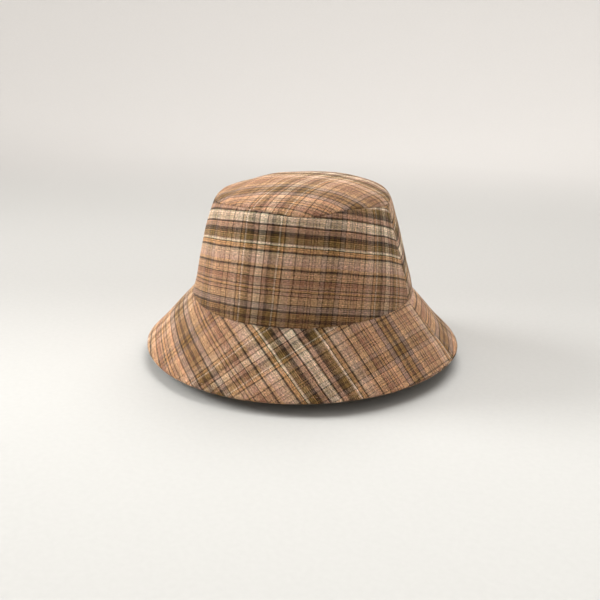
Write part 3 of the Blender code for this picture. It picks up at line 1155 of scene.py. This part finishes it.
def add_stage():
    """A pale floor that sweeps up into a round wall, far enough out to stand behind every view."""
    floor_radius = 1.1
    sweep = 0.9
    wall = 1.2
    profile = [(floor_radius / 2, -STAND_OFF)]
    for turn in np.linspace(0, pi / 2, 24):
        profile.append((floor_radius + sweep * sin(turn), sweep * (1 - cos(turn)) - STAND_OFF))
    profile.append((floor_radius + sweep, sweep + wall))
    around = np.linspace(0, 2 * pi, 96, endpoint=False)
    circle = stack(np.cos(around), np.sin(around), 0.0)
    rows = [circle * radius + (0.0, 0.0, height) for radius, height in profile]
    points = np.concatenate([*rows, np.array([[0.0, 0.0, -STAND_OFF]])])
    index = np.arange(len(rows) * len(around)).reshape(len(rows), -1)
    wrapped = np.column_stack([index, index[:, 0]])
    faces = [*quads(wrapped)[:, ::-1].tolist()]
    faces += [(len(points) - 1, a, b) for a, b in zip(wrapped[0], wrapped[0, 1:])]
    stage = make_object("studio_sweep", points, faces, stage_material())


def stage_material():
    """Matt paper, with painted shade on the floor behind the hat, which tones down the light that falls
    strongest there.
    """
    tree = Tree("studio_paper")
    place = tree.add("ShaderNodeTexCoord").outputs["Object"]
    x, y, _ = tree.parts(place)
    across = tree.product(x, -sin(CAMERA_AZIMUTH))
    behind = tree.maths("ADD", across, tree.product(y, cos(CAMERA_AZIMUTH)))
    # Paper tones near the hat, on the floor behind it and on the wall; the darker floor behind is painted
    # shade
    near = paint(193, 193, 191)
    far = paint(169, 168, 166)
    wall = paint(193, 191, 189)
    passing = tree.span(behind, -0.16, 0.20, 0.0, 1.0, "SMOOTHSTEP")
    rising = tree.span(behind, 0.50, 1.30, 0.0, 1.0, "SMOOTHSTEP")
    grain = tree.mottle(place, 260.0, 3.0, 0.015)
    colour = tree.shade(tree.blend(passing, near, tree.blend(rising, far, wall)), grain)
    return tree.finish(colour, 0.9, 0.1)


def add_softbox(name, location, target, size, power, colour, spread):
    """A round area light; a spread under pi acts like a grid that keeps its light off the backdrop."""
    light = bpy.data.lights.new(name, "AREA")
    light.shape = "DISK"
    light.size = size
    light.energy = power
    light.color = colour
    light.spread = spread
    obj = bpy.data.objects.new(name, light)
    obj.location = location
    obj.rotation_mode = "QUATERNION"
    obj.rotation_quaternion = (Vector(target) - Vector(location)).to_track_quat("-Z", "Y")
    obj.visible_camera = False
    bpy.context.scene.collection.objects.link(obj)


def add_lights():
    middle = (0.0, 0.0, 0.06)
    add_softbox(
        "overhead_softbox", (-0.05, 1.25, 2.15), middle,
        size=2.3, power=74.0, colour=(1.0, 0.985, 0.965), spread=pi,
    )
    add_softbox(
        "side_fill", (-1.50, -0.28, 0.80), middle,
        size=1.0, power=4.9, colour=(1.0, 1.0, 0.98), spread=radians(60),
    )
    world = bpy.data.worlds.new("studio")
    world.use_nodes = True
    background = world.node_tree.nodes["Background"]
    background.inputs["Color"].default_value = (1.0, 0.94, 0.88, 1.0)
    background.inputs["Strength"].default_value = 0.60
    bpy.context.scene.world = world
    bpy.context.scene.view_settings.view_transform = "Standard"


def add_camera():
    data = bpy.data.cameras.new("camera")
    data.sensor_width = 36.0
    data.lens = CAMERA_LENS
    data.clip_end = 20.0
    camera = bpy.data.objects.new("camera", data)
    bpy.context.scene.collection.objects.link(camera)
    back = Vector(
        (
            sin(CAMERA_AZIMUTH) * cos(CAMERA_ELEVATION),
            -cos(CAMERA_AZIMUTH) * cos(CAMERA_ELEVATION),
            sin(CAMERA_ELEVATION),
        )
    )
    level = Vector((cos(CAMERA_AZIMUTH), sin(CAMERA_AZIMUTH), 0.0))
    upright = back.cross(level)
    right = level * cos(CAMERA_ROLL) + upright * sin(CAMERA_ROLL)
    up = upright * cos(CAMERA_ROLL) - level * sin(CAMERA_ROLL)
    aim = Vector((0.0, 0.0, CAMERA_AIM_HEIGHT)) + level * CAMERA_AIM_SIDE
    turn = Matrix((right, up, back)).transposed().to_4x4()
    camera.matrix_world = Matrix.Translation(aim + back * CAMERA_DISTANCE) @ turn
    bpy.context.scene.camera = camera


def add_hat():
    """Every cloth piece and both rows of stitches."""
    plaid = plaid_material()
    lining = woven_material("lining_satin", (82, 66, 54), 0.22 * MM, 0.0, 0.52, 0.4, 0.05, 0.05)
    twill = woven_material("sweatband_twill", (66, 58, 52), 0.45 * MM, 0.8, 0.82, 0.25, 0.10, 0.08)
    label = woven_material("label_satin", (226, 218, 200), 0.20 * MM, 0.0, 0.60, 0.35, 0.05, 0.03)
    felt = felt_material()
    add_tip(plaid)
    halves = (
        ("front", FRONT, CROWN_FRONT_CUT, BRIM_FRONT_CUT, UNDER_FRONT_CUT),
        ("back", BACK, CROWN_BACK_CUT, BRIM_BACK_CUT, UNDER_BACK_CUT),
    )
    for half, middle, crown_cut, brim_cut, under_cut in halves:
        add_crown_side(f"crown_{half}_cloth", f"crown_{half}", middle, crown_cut, plaid)
        add_brim_upper(f"brim_upper_{half}_cloth", f"brim_upper_{half}", middle, brim_cut, plaid)
        add_brim_under(f"brim_under_{half}_cloth", f"brim_under_{half}", middle, under_cut, plaid)
        add_interlining(f"brim_{half}_stiffener", f"brim_interlining_{half}", middle, felt)
        add_lining_side(f"lining_{half}_cloth", f"lining_{half}", middle, lining)
    add_lining_tip(lining)
    add_sweatband(twill)
    add_blank_label(label)
    add_flap("care_label_fold", "care_label", "care_flap", label)
    add_flap("size_tab_fold", "size_tab", "size_flap", label)
    edge_thread = thread_material("edge_thread", (150, 112, 84))
    band_thread = thread_material("band_thread", (84, 72, 62))
    add_stitching(edge_thread, band_thread)


add_camera()
add_stage()
add_lights()
add_hat()
